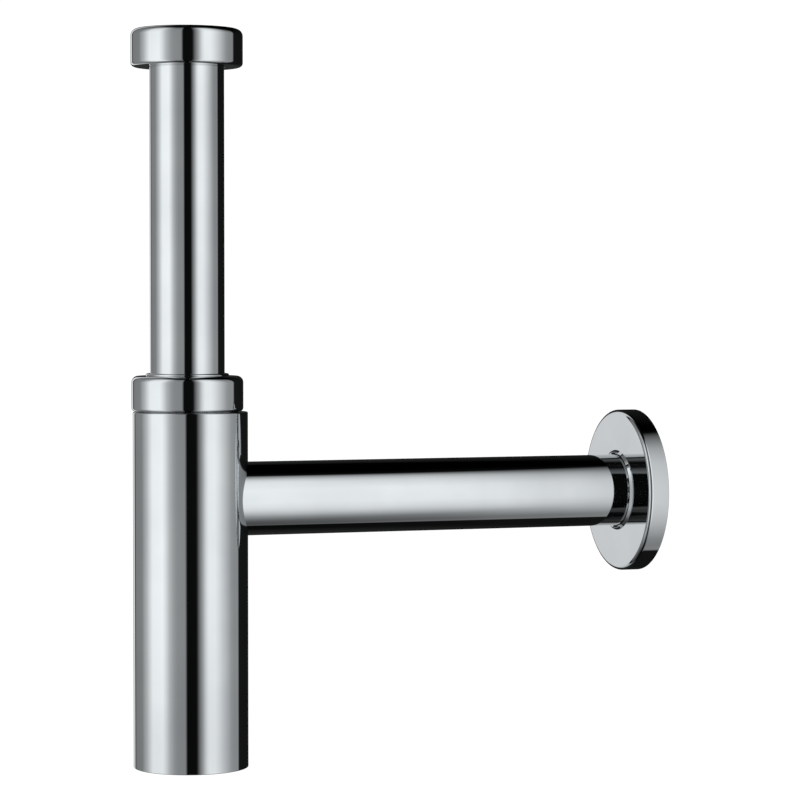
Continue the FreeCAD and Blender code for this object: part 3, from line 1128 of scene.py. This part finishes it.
@dataclass
class WallPlate:
    """The round wall plate with its rolled collar, and the O-ring and clamp ring in its hub."""

    wall: float = 1.2
    hole: float = 16.3
    edge_round: float = 1.8
    collar_radius: float = 18.05
    collar_height: float = 1.0
    collar_crest: float = 17.05
    collar_round: float = 0.12
    collar_lead: float = 0.5
    inner_round: float = 1.0
    hub_radius: float = 20.6
    hub_bore: float = 18.6
    hub_length: float = 6.2
    cord: float = 1.25
    clamp_bore: float = 16.4
    clamp_round: float = 0.2

    def build_plate(self) -> None:
        """Build the dished plate, with its collar in front and its hub behind."""
        box = NodeBox.of("escutcheon_plate")
        rim, back, radius = box.low[0], box.high[0], box.size[1] / 2
        face = rim + self.collar_height
        inside = face + self.wall
        hub_end = face + self.hub_length
        corners = [
            Corner(self.hole, rim + self.collar_lead, INNER_CORNER),
            Corner(self.collar_crest, rim, self.collar_round),
            Corner(self.collar_radius, face, INNER_CORNER),
            Corner(radius, face, self.edge_round),
            Corner(radius, back, SOFT_EDGE),
            Corner(radius - self.wall, back),
            Corner(radius - self.wall, inside, self.inner_round),
            Corner(self.hub_radius, inside, INNER_CORNER),
            Corner(self.hub_radius, hub_end, SOFT_EDGE),
            Corner(self.hub_bore, hub_end),
            Corner(self.hub_bore, inside, INNER_CORNER),
            Corner(self.hole, inside),
        ]
        piece = turned_piece("escutcheon_spun", corners, Axis.OUTLET, (0, 0, box.centre[2]))
        dress(piece, replace(CHROME, run=Run.ROUND_OUTLET), "escutcheon_plate")

    def build_rings(self) -> None:
        """Build the O-ring that grips the tube, and the ring that keeps it in the hub."""
        cord = NodeBox.of("escutcheon_o_ring")
        corners = cord_corners(cord.size[1] / 2 - self.cord, self.cord, cord.centre[0])
        piece = turned_piece("plate_o_ring_moulded", corners, Axis.OUTLET, (0, 0, cord.centre[2]))
        dress(piece, RUBBER, "escutcheon_o_ring")
        clamp = ring_piece(
            "escutcheon_clamp_ring", "clamp_ring_moulded", self.clamp_bore, self.clamp_round, Axis.OUTLET
        )
        dress(clamp, ACETAL, "escutcheon_clamp_ring")

    def build(self) -> None:
        """Build every piece of the wall plate."""
        self.build_plate()
        self.build_rings()


@dataclass
class Studio:
    """A photo studio: a lit tent with dark gaps round the object, a pale light table, and the camera."""

    camera_distance: float = 1326.0
    camera_azimuth: float = -20.11
    camera_elevation: float = 1.90
    lens: float = 135.43
    aim_offset: tuple[float, float, float] = (-0.3, 0.0, -1.4)
    chrome_reflectance: float = 0.61
    tent_reach: float = 650.0
    tent_half_width: float = 400.0
    tent_half_height: float = 1500.0
    lean: float = 22.0
    lean_between: tuple[float, float] = (66.0, 106.0)
    table_drop: float = 420.0
    table_size: float = 9000.0
    glow: float = 1.05
    white: str = "#FFFFFF"
    dark: str = "#101010"

    # How the cloth colours its light: red, green and blue.
    TINT = (0.985, 1.0, 1.01)
    # Degrees round from the camera, growing to its right, and the sRGB grey that polished chrome shows there.
    AROUND = (
        (-180, 38), (-165, 40), (-163, 199), (-150, 197), (-148, 40), (-143.5, 40), (-141.5, 115),
        (-112, 126), (-96, 178), (-80, 237), (-57, 241), (-50, 219), (-42, 180), (-33, 150),
        (-26, 137), (-11, 132), (-7.5, 10), (11, 12), (13, 45), (22.5, 150), (31, 216),
        (36, 234), (48, 235), (57, 220), (65, 201), (76, 174), (86, 147), (95, 137),
        (106, 137), (109, 22), (146, 18), (180, 38),
    )
    # Degrees above the horizon, and the share of the brightness that is left there.
    UP = (
        (-90, 0.0), (-74, 0.01), (-68, 0.12), (-60, 0.21), (-51, 0.34), (-43, 0.54), (-33, 0.76),
        (-24, 0.88), (-10, 0.98), (25, 1.0), (36, 0.94), (46, 0.9), (54, 0.78), (60, 0.56),
        (65, 0.33), (68, 0.12), (70, 0.01), (90, 0.0),
    )

    def radiance(self, grey: float) -> tuple[float, float, float, float]:
        """Turn the grey that chrome shows of the tent into the tent's own brightness, a little cool.

        Args:
            grey: The sRGB grey, from 0 to 255.

        Returns:
            The linear colour, with alpha 1.
        """
        shown = to_linear(f"#{round(grey):02X}{round(grey):02X}{round(grey):02X}")
        red, green, blue = (
            channel / self.chrome_reflectance * tint for channel, tint in zip(shown, self.TINT)
        )
        return (red, green, blue, 1.0)

    def build_camera(self) -> bpy.types.Object:
        """Stand the camera at its distance from the object's middle, and look at it with a slight tilt.

        Returns:
            The camera.
        """
        middle = (np.array(cad_box[0]) + np.array(cad_box[1])) / 2 + np.array(self.aim_offset) * MM
        azimuth, elevation = math.radians(self.camera_azimuth), math.radians(self.camera_elevation)
        flat = math.cos(elevation)
        back = Vector((math.sin(azimuth) * flat, -math.cos(azimuth) * flat, math.sin(elevation)))
        data = bpy.data.cameras.new("studio_camera")
        data.lens = self.lens
        camera = bpy.data.objects.new("studio_camera", data)
        camera.location = Vector(middle) + back * self.camera_distance * MM
        camera.rotation_euler = Euler((math.pi / 2 - elevation, 0, azimuth))
        bpy.context.scene.collection.objects.link(camera)
        bpy.context.scene.camera = camera
        return camera

    def tent_material(self, camera: bpy.types.Object) -> bpy.types.Material:
        """Make the lit cloth of the tent.

        Formula: the angle of a place round the inlet axis, counted from the camera, picks its brightness, and
        its angle above the outlet's height picks the share of that which is left. The right light's top edge
        slopes down to its right, so the lean is added to the height angle there.

        Args:
            camera: The camera that the angles are counted from.

        Returns:
            The material.
        """
        material = bpy.data.materials.new("lit_tent_cloth")
        tree = cleared(material)
        facing = math.atan2(camera.location.y, camera.location.x)
        height = NodeBox.of("outlet_tube").centre[2] * MM
        place = add_node(tree, "TexCoord").outputs["Object"]
        turned = add_node(tree, "Mapping", inputs={
            "Vector": place, "Location": (0, 0, -height), "Rotation": (0, 0, -facing)})
        split = add_node(tree, "SeparateXYZ", inputs={0: turned.outputs["Vector"]})
        x, y, z = split.outputs
        around = add_node(tree, "Math", {"operation": "ARCTAN2"}, {0: y, 1: x})
        around = add_node(tree, "MapRange", inputs={
            "Value": around.outputs["Value"], "From Min": -math.pi, "From Max": math.pi})
        stops = [((angle + 180) / 360, self.radiance(grey)) for angle, grey in self.AROUND]
        walls = add_node(tree, "ValToRGB", inputs={"Fac": around.outputs["Result"]}, stops=stops)
        level = add_node(tree, "CombineXYZ", inputs={"X": x, "Y": y})
        reach = add_node(tree, "VectorMath", {"operation": "LENGTH"}, {0: level.outputs["Vector"]})
        up = add_node(tree, "Math", {"operation": "ARCTAN2"}, {0: z, 1: reach.outputs["Value"]})
        lean_start, lean_end = ((angle + 180) / 360 for angle in self.lean_between)
        lean = add_node(tree, "MapRange", inputs={
            "Value": around.outputs["Result"], "From Min": lean_start, "From Max": lean_end,
            "To Max": math.radians(self.lean)})
        up = add_node(tree, "Math", {"operation": "ADD"}, {
            0: up.outputs["Value"], 1: lean.outputs["Result"]})
        up = add_node(tree, "MapRange", inputs={
            "Value": up.outputs["Value"], "From Min": -math.pi / 2, "From Max": math.pi / 2})
        stops = [((angle + 90) / 180, (share, share, share, 1.0)) for angle, share in self.UP]
        heights = add_node(tree, "ValToRGB", inputs={"Fac": up.outputs["Result"]}, stops=stops)
        lit = add_node(tree, "VectorMath", {"operation": "MULTIPLY"}, {
            0: walls.outputs["Color"], 1: heights.outputs["Color"]})
        glow = add_node(tree, "Emission", inputs={"Color": lit.outputs["Vector"], "Strength": 1.0})
        add_node(tree, "OutputMaterial", inputs={"Surface": glow.outputs[0]})
        return material

    def build_tent(self, camera: bpy.types.Object) -> None:
        """Hang the tent round the object: an open upright tube that only light and reflections meet.

        Formula: in plan an ellipse, longest towards the camera, carried straight up.

        Args:
            camera: The camera that the ellipse points at.
        """
        angle = np.linspace(0, math.tau, STEPS_AROUND, endpoint=False)
        facing = math.atan2(camera.location.y, camera.location.x)
        ahead, aside = self.tent_reach * np.cos(angle), self.tent_half_width * np.sin(angle)
        loop_x = ahead * math.cos(facing) - aside * math.sin(facing)
        loop_y = ahead * math.sin(facing) + aside * math.cos(facing)
        loop = np.stack([loop_x, loop_y, np.zeros_like(angle)], axis=-1)
        rise = np.array([0, 0, self.tent_half_height])
        grid = np.arange(2 * STEPS_AROUND).reshape(2, STEPS_AROUND)
        points = np.vstack([loop - rise, loop + rise])
        tent = Surface(points, -points, [band(grid[0], grid[1])]).to_object("light_tent")
        tent.data.materials.append(self.tent_material(camera))
        tent.visible_camera = False

    def build_backdrop(self) -> None:
        """Give the camera a plain white backdrop, past the tent, that lights nothing."""
        world = bpy.data.worlds.new("white_backdrop")
        bpy.context.scene.world = world
        tree = cleared(world)
        seen = add_node(tree, "LightPath").outputs["Is Camera Ray"]
        light = {"Color": to_linear(self.white), "Strength": self.glow}
        backdrop = add_node(tree, "Background", inputs=light)
        dark = add_node(tree, "Background", inputs={"Color": to_linear(self.dark)})
        mixed = add_node(tree, "MixShader", inputs={0: seen, 1: dark.outputs[0], 2: backdrop.outputs[0]})
        add_node(tree, "OutputWorld", inputs={"Surface": mixed.outputs[0]})

    def build_table(self) -> None:
        """Lay a plain pale light table under the object, bright enough that nothing casts a shadow on it."""
        height = cad_box[0].z - self.table_drop * MM
        bpy.ops.mesh.primitive_plane_add(size=self.table_size * MM, location=(0, 0, height))
        table = bpy.context.object
        table.name = "light_table"
        material = bpy.data.materials.new("opal_acrylic_light_table")
        tree = cleared(material)
        glow = add_node(tree, "Emission", inputs={"Color": to_linear(self.white), "Strength": self.glow})
        add_node(tree, "OutputMaterial", inputs={"Surface": glow.outputs[0]})
        table.data.materials.append(material)
        table.visible_glossy = False

    def build(self) -> None:
        """Build the camera, the lights and the table."""
        bpy.context.scene.view_settings.view_transform = "Standard"
        camera = self.build_camera()
        self.build_tent(camera)
        self.build_backdrop()
        self.build_table()


def main() -> None:
    """Build the studio and every sub-assembly in order."""
    logging.basicConfig(level=logging.INFO, format="%(name)s: %(message)s")
    Studio().build()
    for assembly in (InletAssembly(), SlipJoint(), TrapBody(), CleanoutCup(), OutletPipe(), WallPlate()):
        assembly.build()
        log.info("%s is done", type(assembly).__name__)


if __name__ == "__main__":
    main()
